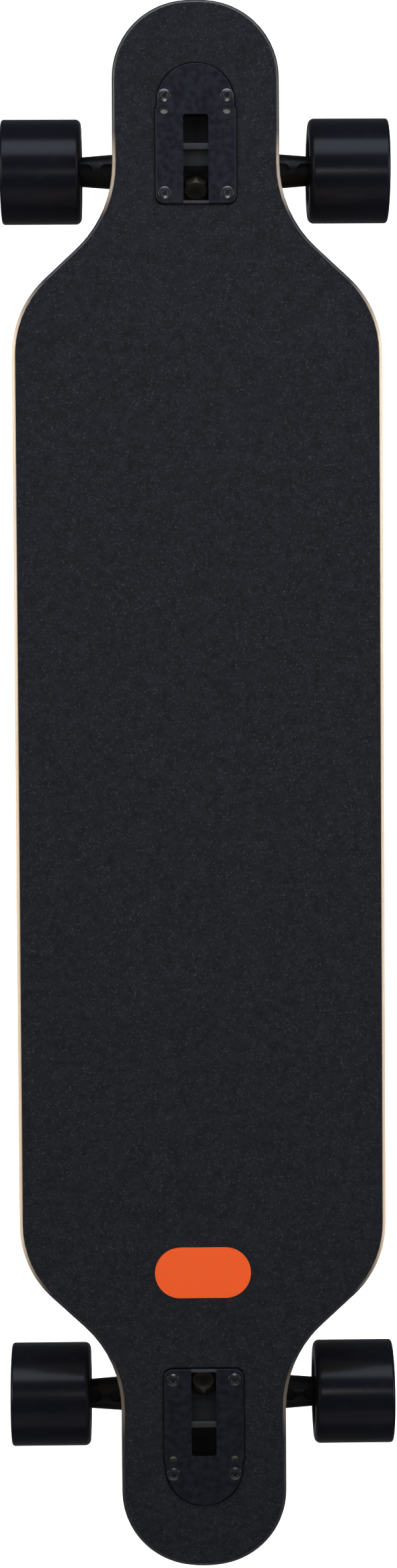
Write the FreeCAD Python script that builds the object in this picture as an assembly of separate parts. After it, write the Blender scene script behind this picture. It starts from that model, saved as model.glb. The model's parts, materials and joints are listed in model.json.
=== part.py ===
import FreeCAD, Part
import math
import os

# A drop-through longboard: deck, grip tape, two reverse-kingpin trucks and four wheels on ball bearings.
# Frame: millimetres, +Z up, +Y towards the nose, +X to the rider's right, ground at z = 0 under the middle.

os.makedirs("parts", exist_ok=True)
Vector = FreeCAD.Vector
ORIGIN = Vector(0, 0, 0)
ALONG_X = Vector(1, 0, 0)
ALONG_Y = Vector(0, 1, 0)
ALONG_Z = Vector(0, 0, 1)

# Deck sizes
deck_length = 1041.0
deck_half_width = 121.8
neck_half_width = 55.0
deck_thickness = 11.5
concave_radius = 700.0
edge_round = 2.0
tip_radius = 76.0
tip_flat_half = 4.0
shoulder_inner_radius = 77.0
shoulder_outer_radius = 69.0
tip_to_shoulder = 107.0
shoulder_angle = 46.4
grip_thickness = 0.9
glue_gap = 0.2
grip_inset = 2.3
inlay_length = 64.0
inlay_width = 34.0
tip_to_inlay = 198.5
inlay_gap = 0.15
round_slack = 0.02

# Where the trucks sit
tip_to_truck = 95.0
seat_depth = 2.5
seat_clearance = 0.8
grip_clearance = 0.8
axle_drop = 58.0
axle_inset = 8.0

# Baseplate sizes
plate_thickness = 6.0
plate_half_width = 26.6
plate_inner_end = 39.0
plate_outer_end = 53.0
plate_arc_radius = 25.5
plate_corner = 5.5
plate_edge = 0.9
window_half_width = 8.3
outer_window_from = 1.0
outer_window_to = 19.5
inner_window_edge = 13.0
inner_window_lip = 2.2
window_corner = 2.0
window_depth = 12.0
window_wall = 2.5
bridge_bar = 4.8
bar_drop = 0.8
bar_round = 1.5
bridge_recess = 5.0
cut_margin = 1.0
head_clearance = 1.2
opening_overlap = 2.5
opening_clearance = 0.8
opening_corner = 5.0
opening_outer_end = 23.0
tower_wall = 3.0

# Mounting hardware: the long pattern carries the screws, the short pattern is left empty
hole_spacing_x = 41.275
hole_spacing_long = 63.5
hole_spacing_short = 53.975
screw_radius = 2.5
screw_clearance = 0.25
screw_head_radius = 4.3
screw_head_height = 2.3
screw_head_sunk = 0.2
screw_socket = 3.2
screw_socket_depth = 2.0
screw_tail = 1.6
mount_nut_flats = 9.5
mount_nut_height = 5.2
nut_seat_radius = 6.5
nut_seat_depth = 0.9

# Truck geometry, in the truck's own steering frame
steering_angle = 50.0
rake = 8.0
ring_distance = 25.5
ring_radius = 17.0
ring_height = 12.0
ring_web = 6.0
ring_bore = 7.5
bushing_seat_gap = 0.3
bushing_radius = 12.6
bushing_crown = 0.6
board_bushing_height = 16.0
road_bushing_height = 14.0
road_bushing_tip = 9.2
washer_thickness = 2.0
board_washer_radius = 13.2
road_washer_radius = 10.8
kingpin_radius = 4.76
kingpin_clearance = 0.1
kingpin_boss_radius = 14.2
kingpin_boss_height = 13.0
kingpin_head_flats = 14.3
kingpin_head_height = 6.5
kingpin_nut_flats = 14.3
kingpin_nut_height = 8.0
nut_collar_height = 2.2

# Shares of a size: nut and bolt chamfers against the flats, thread points against the radius
chamfer_wide = 0.62
chamfer_narrow = 0.5
collar_share = 0.44
point_share = 0.8

# More truck geometry
kingpin_tail = 2.5
pivot_boss_radius = 11.2
pivot_mouth = 12.5
pivot_boss_end = 23.0
pivot_cup_radius = 9.0
pivot_cup_end = 20.8
pivot_root_radius = 8.6
pivot_tip_radius = 5.8
pivot_root = 5.0
pivot_tip = 18.0
pivot_tip_round = 2.0
pivot_gap = 0.3
neck_half = 11.0
hub_half = 14.0

# Hanger arms: distance from the middle, half width fore and aft, half height
hanger_half = 90.0
arm_root_half_y = 13.4
arm_root_half_z = 10.0
arm_mid_x = 55.0
arm_mid_half_y = 11.6
arm_mid_half_z = 9.6
arm_end_half_y = 8.7
arm_end_half_z = 8.3
pocket_width = 8.0
pocket_depth = 2.6
pocket_inner_from = 36.0
pocket_inner_to = 64.0
pocket_outer_from = 69.0
pocket_outer_to = 82.0

# Axle and bearings (608 size)
axle_radius = 4.0
axle_tail = 1.6
axle_chamfer = 0.8
axle_nut_flats = 13.0
axle_nut_height = 8.0
speed_washer_thickness = 1.0
speed_washer_radius = 6.0
bearing_width = 7.0
bearing_outer_radius = 11.0
inner_ring_radius = 6.1
outer_ring_bore = 8.9
ball_circle = 7.5
ball_radius = 1.95
ball_gap = 0.05
ball_count = 7
cage_inner = 6.9
cage_outer = 8.1
cage_width = 5.2
shield_bore = 6.5
shield_radius = 9.4
shield_thickness = 0.4
shield_sunk = 0.2
spacer_length = 10.0
spacer_radius = 5.4

# Wheels
wheel_radius = 35.0
wheel_width = 54.0
wheel_offset = 0.7
wheel_lip = 2.0
wheel_inner_lip = 4.0
wheel_side_radius = 23.5
core_radius = 19.0
core_lip = 1.0
core_width = 30.0
core_shoulder = 9.8
core_pocket_count = 8
core_pocket_radius = 2.1
core_pocket_circle = 15.0
core_pocket_depth = 7.0

# Derived positions
shoulder_start = deck_length / 2 - tip_to_shoulder
inlay_y = tip_to_inlay - deck_length / 2
truck_y = deck_length / 2 - tip_to_truck
seat_z = wheel_radius + axle_drop
deck_top = seat_z + seat_depth
concave_axis_z = deck_top + concave_radius
axle_y = -axle_inset
axle_z = -axle_drop
sin_a = math.sin(math.radians(steering_angle))
cos_a = math.cos(math.radians(steering_angle))
pivot_y = axle_y - rake * sin_a
pivot_z = axle_z + rake * cos_a
board_stack = ring_web / 2 + board_bushing_height + washer_thickness
road_stack = ring_web / 2 + road_bushing_height + washer_thickness
kingpin_head_seat = board_stack + kingpin_boss_height
stack_length = 2 * bearing_width + spacer_length
stack_centre = hanger_half + speed_washer_thickness + stack_length / 2
bearing_centre = (spacer_length + bearing_width) / 2
hole_long_y = hole_spacing_long / 2
hole_short_y = hole_spacing_short - hole_long_y
hole_radius = screw_radius + screw_clearance


# Shape helpers

def save(name, solids):
    """Writes one node: a single solid, or several solids as one group."""
    shape = solids[0] if len(solids) == 1 else Part.makeCompound(solids)
    shape.exportStep("parts/%s.step" % name)


def block(x0, x1, y0, y1, z0, z1):
    """Box between two corners."""
    return Part.makeBox(x1 - x0, y1 - y0, z1 - z0, Vector(x0, y0, z0))


def rounded_block(x0, x1, y0, y1, z0, z1, radius):
    """Box whose four upright edges are rounded."""
    body = block(x0, x1, y0, y1, z0, z1)
    upright = [e for e in body.Edges if abs(e.tangentAt(e.FirstParameter).z) > 0.9]
    return body.makeFillet(radius, upright)


def tube(outer, inner, height, base=ORIGIN, direction=ALONG_Z):
    """Round tube standing on its base point."""
    outside = Part.makeCylinder(outer, height, base, direction)
    return outside.cut(Part.makeCylinder(inner, height, base, direction))


def hexagon(flats, height, z0):
    """Hexagonal prism round the Z axis, flats facing +X and -X."""
    corner = flats / math.sqrt(3)
    angles = [math.radians(30 + 60 * k) for k in range(7)]
    points = [Vector(corner * math.cos(a), corner * math.sin(a), z0) for a in angles]
    return Part.Face(Part.makePolygon(points)).extrude(Vector(0, 0, height))


def lock_nut(flats, height, bore, z0, upwards):
    """Hexagon nut with a round locking collar on its free side, standing on z0 along +Z or -Z."""
    chamfer = Part.makeCone(flats * chamfer_wide, flats * chamfer_narrow, height, Vector(0, 0, 0), ALONG_Z)
    body = hexagon(flats, height - nut_collar_height, 0).common(chamfer)
    collar = Part.makeCylinder(flats * collar_share, height, ORIGIN, ALONG_Z)
    nut = body.fuse(collar).cut(Part.makeCylinder(bore, height, ORIGIN, ALONG_Z)).removeSplitter()
    if not upwards:
        nut = nut.rotated(ORIGIN, ALONG_X, 180)
    return nut.translated(Vector(0, 0, z0))


def spin(profile, axis):
    """Solid of revolution of (along, radius) points about X or Z."""
    if axis == ALONG_X:
        points = [Vector(a, r, 0) for a, r in profile]
    else:
        points = [Vector(r, 0, a) for a, r in profile]
    return Part.Face(Part.makePolygon(points + points[:1])).revolve(ORIGIN, axis, 360)


def slab_x(points, half_width):
    """Side profile of (y, z) points, as wide as twice the half width along X."""
    corners = [Vector(-half_width, y, z) for y, z in points]
    face = Part.Face(Part.makePolygon(corners + corners[:1]))
    return face.extrude(Vector(2 * half_width, 0, 0))


def pivot_point(along, up):
    """Truck-frame (y, z) of a point given along the steering axis and along the kingpin."""
    return pivot_y + along * cos_a - up * sin_a, pivot_z + along * sin_a + up * cos_a


def from_steering_frame(shape):
    """Turns a shape drawn with Y on the steering axis and Z along the kingpin into the truck frame."""
    return shape.rotated(ORIGIN, ALONG_X, steering_angle).translated(Vector(0, pivot_y, pivot_z))


def on_kingpin(shape):
    """Puts a shape drawn round Z on the kingpin axis, in the truck frame."""
    return from_steering_frame(shape.translated(Vector(0, ring_distance, 0)))


def at_truck(shape, end):
    """Puts a truck-frame shape under the nose (end = 1) or, turned about, under the tail (end = -1)."""
    turned = shape if end > 0 else shape.rotated(ORIGIN, ALONG_Z, 180)
    return turned.translated(Vector(0, end * truck_y, seat_z))


def at_axle(shape, side):
    """Puts a shape drawn round the X axis at the bearing stack of one side, in the truck frame."""
    turned = shape if side > 0 else shape.rotated(ORIGIN, ALONG_Z, 180)
    return turned.translated(Vector(side * stack_centre, axle_y, axle_z))


# Deck outline

def circle_arc(cx, cy, radius, start, stop):
    """Arc edge between two angles in degrees."""
    return Part.makeCircle(radius, Vector(cx, cy, 0), ALONG_Z, start, stop)


def deck_prism(inset):
    """Upright prism of the deck outline, moved inwards by the inset: arcs that run into one another."""
    neck = neck_half_width - inset
    side = deck_half_width - inset
    tip = tip_radius - inset
    corner = neck - tip_flat_half
    inner = shoulder_inner_radius + inset
    outer = shoulder_outer_radius - inset
    turn = math.radians(shoulder_angle)
    tip_y = deck_length / 2 - tip_radius
    corner_y = tip_y + math.sqrt((tip - corner) ** 2 - tip_flat_half ** 2)
    tip_angle = math.degrees(math.atan2(corner_y - tip_y, tip_flat_half))
    x1 = neck + inner * (1 - math.cos(turn))
    y1 = shoulder_start - inner * math.sin(turn)
    x2 = side - outer * (1 - math.cos(turn))
    y2 = y1 - (x2 - x1) / math.tan(turn)
    side_y = y2 - outer * math.sin(turn)
    quarter = [
        circle_arc(tip_flat_half, corner_y, corner, 0, tip_angle),
        Part.makeLine(Vector(neck, corner_y, 0), Vector(neck, shoulder_start, 0)),
        circle_arc(neck + inner, shoulder_start, inner, 180, 180 + shoulder_angle),
        Part.makeLine(Vector(x1, y1, 0), Vector(x2, y2, 0)),
        circle_arc(side - outer, side_y, outer, 0, shoulder_angle),
    ]
    nose = quarter + [e.mirror(ORIGIN, ALONG_X) for e in quarter]
    nose.append(circle_arc(0, tip_y, tip, tip_angle, 180 - tip_angle))
    sides = [Part.makeLine(Vector(s * side, side_y, 0), Vector(s * side, -side_y, 0)) for s in (1, -1)]
    edges = nose + [e.mirror(ORIGIN, ALONG_Y) for e in nose] + sides
    face = Part.Face(Part.Wire(Part.__sortEdges__(edges)))
    height = 2 * deck_thickness + concave_radius / 4
    return face.translated(Vector(0, 0, deck_top - 2 * deck_thickness)).extrude(Vector(0, 0, height))


def concave_layer(bottom, top):
    """Part of a tube along the board: from the bottom to the top height above the deck's own top surface."""
    start = Vector(0, -deck_length, concave_axis_z)
    return tube(concave_radius - bottom, concave_radius - top, 2 * deck_length, start, ALONG_Y)


def plate_outline(grow, z0, z1, edge):
    """Baseplate outline as a prism: square inner end, slightly narrower half-round outer end."""
    half = plate_half_width + grow
    arc_y = plate_outer_end - plate_arc_radius
    square = rounded_block(-half, half, -plate_inner_end - grow, arc_y + grow, z0, z1, plate_corner + grow)
    end = Part.makeCylinder(plate_arc_radius + grow, z1 - z0, Vector(0, arc_y, z0), ALONG_Z)
    if edge > 0:
        square = square.makeFillet(edge, top_edges(square, z1))
        end = end.makeFillet(edge, top_edges(end, z1))
    return square.fuse(end).removeSplitter()


def top_edges(shape, z):
    """Edges that lie in the plane at height z."""
    return [e for e in shape.Edges if abs(e.BoundBox.ZMin - z) < 1e-6 and abs(e.BoundBox.ZMax - z) < 1e-6]


def inlay_prism(grow):
    """Upright prism of the pill-shaped inlay."""
    half_x = inlay_length / 2 + grow
    half_y = inlay_width / 2 + grow
    pill = rounded_block(-half_x, half_x, -half_y, half_y, 0, 4 * deck_thickness, half_y - round_slack)
    return pill.translated(Vector(0, inlay_y, deck_top - deck_thickness))


def screw_places(lengths):
    """Hole centres of a mounting pattern in the truck frame: both sides, at the given distances."""
    return [Vector(s * hole_spacing_x / 2, y, 0) for y in lengths for s in (1, -1)]


used_holes = screw_places((-hole_long_y, hole_long_y))
empty_holes = screw_places((hole_short_y,))
nut_seat_z = seat_depth - deck_thickness + nut_seat_depth

# Deck
deck = deck_prism(0).common(concave_layer(-deck_thickness, 0))
rims = []
for face in deck.Faces:
    if isinstance(face.Surface, Part.Cylinder) and abs(face.Surface.Axis.y) > 0.9:
        rims += face.Edges
deck = deck.makeFillet(edge_round, rims)
opening_inner_end = plate_inner_end - opening_overlap
opening_half_width = kingpin_boss_radius + opening_clearance
for end in (1, -1):
    seat = plate_outline(seat_clearance, 0, deck_thickness, 0)
    opening = rounded_block(
        -opening_half_width, opening_half_width, -opening_inner_end, opening_outer_end,
        -2 * deck_thickness, deck_thickness, opening_corner)
    cuts = [seat, opening]
    for place in used_holes + empty_holes:
        drill_from = place - Vector(0, 0, 2 * deck_thickness)
        cuts.append(Part.makeCylinder(hole_radius, 3 * deck_thickness, drill_from, ALONG_Z))
    for place in used_holes:
        flat_from = place + Vector(0, 0, nut_seat_z - deck_thickness)
        cuts.append(Part.makeCylinder(nut_seat_radius, deck_thickness, flat_from, ALONG_Z))
    deck = deck.cut([at_truck(c, end) for c in cuts])
save("deck", deck.Solids)

# Grip tape and inlay
grip = deck_prism(grip_inset).common(concave_layer(glue_gap, glue_gap + grip_thickness))
grip = grip.cut([at_truck(plate_outline(grip_clearance, 0, deck_thickness, 0), end) for end in (1, -1)])
grip = grip.cut(inlay_prism(inlay_gap))
save("grip_tape", grip.Solids)
inlay = inlay_prism(0).common(concave_layer(glue_gap, glue_gap + grip_thickness))
save("badge_inlay", inlay.Solids)


# Truck pieces, each drawn once in the truck frame

def make_baseplate():
    """Plate with a blind and an open window, kingpin boss, and a tower down to the pivot boss."""
    plate = plate_outline(0, 0, plate_thickness, plate_edge)
    inner_face = -(opening_inner_end - opening_clearance)
    boss_low = pivot_point(-pivot_boss_end, pivot_boss_radius)
    face_low = pivot_point(ring_distance - kingpin_boss_radius, board_stack)
    face_high = pivot_point(ring_distance + kingpin_boss_radius, board_stack)
    tower = slab_x([
        (inner_face, plate_thickness / 2), (inner_face, boss_low[1]), boss_low,
        pivot_point(-pivot_mouth, pivot_boss_radius), face_low, face_high,
        (face_high[0] + tower_wall, plate_thickness / 2)], pivot_boss_radius)
    kingpin_boss = from_steering_frame(Part.makeCylinder(
        kingpin_boss_radius, kingpin_boss_height, Vector(0, ring_distance, board_stack), ALONG_Z))
    pivot_boss = from_steering_frame(Part.makeCylinder(
        pivot_boss_radius, pivot_boss_end - pivot_mouth, Vector(0, -pivot_boss_end, 0), ALONG_Y))
    body = tower.fuse([kingpin_boss, pivot_boss])
    above = block(-plate_half_width, plate_half_width, -plate_outer_end, plate_outer_end,
                  plate_thickness / 2, plate_outer_end)
    pan_half = window_half_width + window_wall
    pan_floor = plate_thickness - window_depth
    pan = rounded_block(-pan_half, pan_half, outer_window_from - bridge_bar, outer_window_to + window_wall,
                        pan_floor - window_wall, plate_thickness / 2, window_corner)
    body = plate.fuse([body.cut(above), pan]).removeSplitter()
    cup_hole = from_steering_frame(Part.makeCylinder(
        pivot_cup_radius, pivot_cup_end, Vector(0, -pivot_cup_end, 0), ALONG_Y))
    kingpin_hole = from_steering_frame(Part.makeCylinder(
        kingpin_radius + kingpin_clearance, kingpin_head_seat + cut_margin,
        Vector(0, ring_distance, 0), ALONG_Z))
    head_reach = kingpin_head_flats / math.sqrt(3) + head_clearance
    head_low = pivot_point(ring_distance - head_reach, kingpin_head_seat)
    head_high = pivot_point(ring_distance + head_reach, kingpin_head_seat)
    pocket_end = inner_window_lip - plate_inner_end
    pocket = slab_x([
        (pocket_end, 2 * plate_thickness), (pocket_end, head_low[1]),
        head_low, head_high, (-inner_window_edge, plate_thickness),
        (-inner_window_edge, 2 * plate_thickness)], window_half_width)
    window = rounded_block(-window_half_width, window_half_width, outer_window_from, outer_window_to,
                           pan_floor, 2 * plate_thickness, window_corner)
    recess = block(-window_half_width, window_half_width, -inner_window_edge - cut_margin,
                   outer_window_from + cut_margin, plate_thickness - bridge_recess, 2 * plate_thickness)
    body = body.cut([pocket, window, recess]).fuse(make_bridge_bar())
    cuts = [cup_hole, kingpin_hole]
    for place in used_holes + empty_holes:
        cuts.append(Part.makeCylinder(hole_radius, 3 * plate_thickness,
                                      place - Vector(0, 0, plate_thickness), ALONG_Z))
    for place in used_holes:
        cuts.append(countersink(screw_clearance).translated(place))
    return body.cut(cuts)


def make_bridge_bar():
    """Round-topped bar across the long window, its ends let into the plate."""
    half = window_half_width + cut_margin
    bar = block(-half, half, outer_window_from - bridge_bar, outer_window_from, 0, plate_thickness - bar_drop)
    along = [e for e in top_edges(bar, plate_thickness - bar_drop) if e.Length > bridge_bar + cut_margin]
    return bar.makeFillet(bar_round, along)


def countersink(grow):
    """Cone of the screw head, up to the top of the plate."""
    head_top = plate_thickness - screw_head_sunk
    low = head_top - screw_head_height
    profile = [
        (low, 0), (low, screw_radius + grow), (head_top, screw_head_radius + grow),
        (plate_thickness + cut_margin, screw_head_radius + grow), (plate_thickness + cut_margin, 0)]
    return spin(profile, ALONG_Z)


def make_screw():
    """Countersunk screw with a hexagon socket."""
    head_top = plate_thickness - screw_head_sunk
    low = head_top - screw_head_height
    foot = nut_seat_z - mount_nut_height - screw_tail
    profile = [
        (foot, 0), (foot, screw_radius * point_share),
        (foot + screw_radius * (1 - point_share), screw_radius),
        (low, screw_radius), (head_top, screw_head_radius), (head_top, 0)]
    socket = hexagon(screw_socket, screw_socket_depth + cut_margin, head_top - screw_socket_depth)
    return spin(profile, ALONG_Z).cut(socket)


def make_kingpin():
    """Hexagon-head bolt through the baseplate, both bushings and the hanger ring."""
    reach = road_stack + kingpin_nut_height + kingpin_tail
    head = hexagon(kingpin_head_flats, kingpin_head_height, kingpin_head_seat)
    top = kingpin_head_seat + kingpin_head_height
    crown = Part.makeCone(kingpin_head_flats * chamfer_wide, kingpin_head_flats * chamfer_narrow,
                          kingpin_head_height, Vector(0, 0, kingpin_head_seat), ALONG_Z)
    shank = spin([
        (-reach, 0), (-reach, kingpin_radius * point_share),
        (-reach + kingpin_radius * (1 - point_share), kingpin_radius),
        (top - kingpin_head_height / 2, kingpin_radius), (top - kingpin_head_height / 2, 0)], ALONG_Z)
    bolt = head.common(crown).fuse(shank).removeSplitter()
    return on_kingpin(bolt)


def make_board_bushing():
    """Barrel bushing between the baseplate washer and the hanger ring."""
    low = ring_web / 2
    high = low + board_bushing_height
    middle = (low + high) / 2
    end = bushing_radius - bushing_crown
    hole = kingpin_radius + kingpin_clearance
    profile = [(low, hole), (low, end), (middle, bushing_radius), (high, end), (high, hole)]
    return on_kingpin(spin(profile, ALONG_Z))


def make_road_bushing():
    """Cone bushing between the hanger ring and the nut."""
    low = -ring_web / 2 - road_bushing_height
    high = -ring_web / 2
    straight = high - (ring_height - ring_web) / 2
    end = bushing_radius - bushing_crown
    hole = kingpin_radius + kingpin_clearance
    profile = [(low, hole), (low, road_bushing_tip), (straight, end), (high, end), (high, hole)]
    return on_kingpin(spin(profile, ALONG_Z))


def make_washers():
    """Flat washer above the board-side bushing and a smaller one under the road-side bushing."""
    hole = kingpin_radius + kingpin_clearance
    above = tube(board_washer_radius, hole, washer_thickness, Vector(0, 0, board_stack - washer_thickness))
    below = tube(road_washer_radius, hole, washer_thickness, Vector(0, 0, -road_stack))
    return [on_kingpin(above), on_kingpin(below)]


def pivot_nose(grow):
    """Tapered pivot round the steering axis, rounded at its tip."""
    length = pivot_tip - pivot_root + grow
    cone = Part.makeCone(pivot_root_radius + grow, pivot_tip_radius + grow, length,
                         Vector(0, -pivot_root, 0), Vector(0, -1, 0))
    tip = [e for e in cone.Edges if abs(e.BoundBox.YMax + pivot_root + length) < 1e-6]
    return cone.makeFillet(pivot_tip_round, tip)


def make_pivot_cup():
    """Urethane cup pressed into the pivot boss, hollow to the shape of the pivot."""
    foot = Vector(0, -pivot_cup_end, 0)
    cup = Part.makeCylinder(pivot_cup_radius, pivot_cup_end - pivot_mouth, foot, ALONG_Y)
    return from_steering_frame(cup.cut(pivot_nose(pivot_gap)))


def arm_section(x, half_y, half_z):
    """Upright ellipse round the axle line at distance x from the middle."""
    centre = Vector(x, axle_y, axle_z)
    ellipse = Part.Ellipse(centre + Vector(0, half_y, 0), centre + Vector(0, 0, half_z), centre)
    return Part.Wire(ellipse.toShape())


def arm_half_height(x):
    """Half height of an arm at a distance from the middle, straight between its three sections."""
    if x < arm_mid_x:
        share = (x - hub_half) / (arm_mid_x - hub_half)
        return arm_root_half_z + share * (arm_mid_half_z - arm_root_half_z)
    share = (x - arm_mid_x) / (hanger_half - arm_mid_x)
    return arm_mid_half_z + share * (arm_end_half_z - arm_mid_half_z)


def make_hanger():
    """Arms round the axle, ring for the bushings, neck between them, and the pivot."""
    root = arm_section(hub_half, arm_root_half_y, arm_root_half_z)
    hub = Part.Face(root).extrude(Vector(-2 * hub_half, 0, 0))
    sections = [
        root, arm_section(arm_mid_x, arm_mid_half_y, arm_mid_half_z),
        arm_section(hanger_half, arm_end_half_y, arm_end_half_z)]
    right = Part.makeLoft(sections, True, False)
    left = right.rotated(Vector(0, axle_y, axle_z), ALONG_Z, 180)
    ring_from = Vector(0, ring_distance, -ring_height / 2)
    ring = from_steering_frame(Part.makeCylinder(ring_radius, ring_height, ring_from, ALONG_Z))
    neck = from_steering_frame(block(-neck_half, neck_half, -rake / 4, ring_distance, -rake, ring_web / 2))
    hanger = hub.fuse([right, left, ring, neck, from_steering_frame(pivot_nose(0))])
    seat_radius = bushing_radius + bushing_seat_gap
    cuts = [Part.makeCylinder(ring_bore, 2 * ring_height, Vector(0, ring_distance, -ring_height), ALONG_Z)]
    for low in (ring_web / 2, -ring_web / 2 - ring_height):
        cuts.append(Part.makeCylinder(seat_radius, ring_height, Vector(0, ring_distance, low), ALONG_Z))
    cuts = [from_steering_frame(c) for c in cuts]
    bore_from = Vector(-2 * hanger_half, axle_y, axle_z)
    cuts.append(Part.makeCylinder(axle_radius, 4 * hanger_half, bore_from, ALONG_X))
    for start, stop in ((pocket_inner_from, pocket_inner_to), (pocket_outer_from, pocket_outer_to)):
        floor = axle_z + arm_half_height(stop) - pocket_depth
        slot = rounded_block(start, stop, axle_y - pocket_width / 2, axle_y + pocket_width / 2,
                             floor, floor + arm_root_half_z, pocket_width / 2 - round_slack)
        cuts += [slot, slot.rotated(Vector(0, axle_y, 0), ALONG_Z, 180)]
    return hanger.cut(cuts).removeSplitter()


def make_axle():
    """Plain rod with chamfered ends, through the hanger and both bearing stacks."""
    half = stack_centre + stack_length / 2 + speed_washer_thickness + axle_nut_height + axle_tail
    rod = spin([
        (-half, 0), (-half, axle_radius - axle_chamfer), (-half + axle_chamfer, axle_radius),
        (half - axle_chamfer, axle_radius), (half, axle_radius - axle_chamfer), (half, 0)], ALONG_X)
    return rod.translated(Vector(0, axle_y, axle_z))


def make_axle_nut():
    """Lock nut outside the outer speed washer, drawn round the X axis."""
    nut = lock_nut(axle_nut_flats, axle_nut_height, axle_radius, 0, True).rotated(ORIGIN, ALONG_Y, 90)
    return nut.translated(Vector(stack_length / 2 + speed_washer_thickness, 0, 0))


def ring_groove():
    """Ball groove that runs round both rings of a bearing."""
    return Part.makeTorus(ball_circle, ball_radius + ball_gap, ORIGIN, ALONG_X)


def make_inner_ring():
    """Inner bearing ring round the X axis."""
    ring = tube(inner_ring_radius, axle_radius, bearing_width, Vector(-bearing_width / 2, 0, 0), ALONG_X)
    return ring.cut(ring_groove())


def make_outer_ring():
    """Outer bearing ring round the X axis, stepped at both ends for the shields."""
    half = bearing_width / 2
    inside = half - shield_sunk - shield_thickness
    profile = [
        (-half, bearing_outer_radius), (half, bearing_outer_radius), (half, shield_radius),
        (inside, shield_radius), (inside, outer_ring_bore), (-inside, outer_ring_bore),
        (-inside, shield_radius), (-half, shield_radius)]
    return spin(profile, ALONG_X).cut(ring_groove())


def make_shield(side):
    """Thin dust shield in one end of the outer ring."""
    start = bearing_width / 2 - shield_sunk - shield_thickness
    base = Vector(start if side > 0 else -start - shield_thickness, 0, 0)
    return tube(shield_radius, shield_bore, shield_thickness, base, ALONG_X)


def ball_places():
    """Ball centres round the X axis."""
    angles = [2 * math.pi * k / ball_count for k in range(ball_count)]
    return [Vector(0, ball_circle * math.cos(a), ball_circle * math.sin(a)) for a in angles]


def make_cage():
    """Ring between the balls, with a round pocket for each."""
    ring = tube(cage_outer, cage_inner, cage_width, Vector(-cage_width / 2, 0, 0), ALONG_X)
    return ring.cut([Part.makeSphere(ball_radius + ball_gap, place) for place in ball_places()])


def make_tyre():
    """Urethane round the core: flat tread, a tight lip outside, a rounder one inside, dished sides."""
    low = wheel_offset - wheel_width / 2
    high = wheel_offset + wheel_width / 2
    core_half = core_width / 2
    tyre = spin([
        (low, wheel_radius), (high, wheel_radius), (high, wheel_side_radius),
        (core_half, core_radius + core_lip), (core_half, core_radius), (-core_half, core_radius),
        (-core_half, core_radius + core_lip), (low, wheel_side_radius)], ALONG_X)
    for x, lip in ((high, wheel_lip), (low, wheel_inner_lip)):
        circles = [e for e in tyre.Edges if isinstance(e.Curve, Part.Circle)]
        rims = [e for e in circles if abs(e.Curve.Center.x - x) < 1e-6]
        tread = [e for e in rims if abs(e.Curve.Radius - wheel_radius) < 1e-6]
        tyre = tyre.makeFillet(lip, tread)
    return tyre


def make_core():
    """Nylon core: two bearing seats, a shoulder between them, pockets round both faces."""
    half = core_width / 2
    shoulder = spacer_length / 2
    core = spin([
        (-half, core_radius), (half, core_radius), (half, bearing_outer_radius),
        (shoulder, bearing_outer_radius), (shoulder, core_shoulder), (-shoulder, core_shoulder),
        (-shoulder, bearing_outer_radius), (-half, bearing_outer_radius)], ALONG_X)
    pockets = []
    for k in range(core_pocket_count):
        angle = 2 * math.pi * k / core_pocket_count
        y = core_pocket_circle * math.cos(angle)
        z = core_pocket_circle * math.sin(angle)
        for start in (-half, half - core_pocket_depth):
            pocket_from = Vector(start, y, z)
            pockets.append(Part.makeCylinder(core_pocket_radius, core_pocket_depth, pocket_from, ALONG_X))
    return core.cut(pockets)


mount_nut = lock_nut(mount_nut_flats, mount_nut_height, screw_radius, nut_seat_z, False)
kingpin_nut = lock_nut(kingpin_nut_flats, kingpin_nut_height, kingpin_radius, -road_stack, False)
spacer = tube(spacer_radius, axle_radius, spacer_length, Vector(-spacer_length / 2, 0, 0), ALONG_X)
balls = [Part.makeSphere(ball_radius, place) for place in ball_places()]
bearing_shifts = [Vector(bearing_centre, 0, 0), Vector(-bearing_centre, 0, 0)]


def in_bearings(shapes):
    """Copies of shapes drawn round the middle of a bearing, one set in each bearing of a wheel."""
    return [s.translated(shift) for shift in bearing_shifts for s in shapes]


def speed_washers():
    """Washers inside and outside a bearing stack."""
    starts = [Vector(-stack_length / 2 - speed_washer_thickness, 0, 0), Vector(stack_length / 2, 0, 0)]
    return [tube(speed_washer_radius, axle_radius, speed_washer_thickness, s, ALONG_X) for s in starts]


# The truck frame pieces of one truck, then of each wheel
truck_nodes = {
    "mount_screws": [make_screw().translated(place) for place in used_holes],
    "mount_nuts": [mount_nut.translated(place) for place in used_holes],
    "baseplate": [make_baseplate()],
    "pivot_cup": [make_pivot_cup()],
    "kingpin": [make_kingpin()],
    "kingpin_nut": [on_kingpin(kingpin_nut)],
    "bushing_board": [make_board_bushing()],
    "bushing_road": [make_road_bushing()],
    "bushing_washers": make_washers(),
    "hanger": [make_hanger()],
    "axle": [make_axle()],
    "axle_nuts": [at_axle(make_axle_nut(), side) for side in (1, -1)],
    "speed_washers": [at_axle(w, side) for side in (1, -1) for w in speed_washers()],
    "bearing_inner_rings": [at_axle(r, side) for side in (1, -1) for r in in_bearings([make_inner_ring()])],
    "bearing_spacers": [at_axle(spacer, side) for side in (1, -1)],
}
wheel_nodes = {
    "tyre": [make_tyre()],
    "core": [make_core()],
    "bearing_outer_rings": in_bearings([make_outer_ring()]),
    "bearing_shields": in_bearings([make_shield(1), make_shield(-1)]),
    "bearing_balls": in_bearings(balls),
    "bearing_cages": in_bearings([make_cage()]),
}

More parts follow.
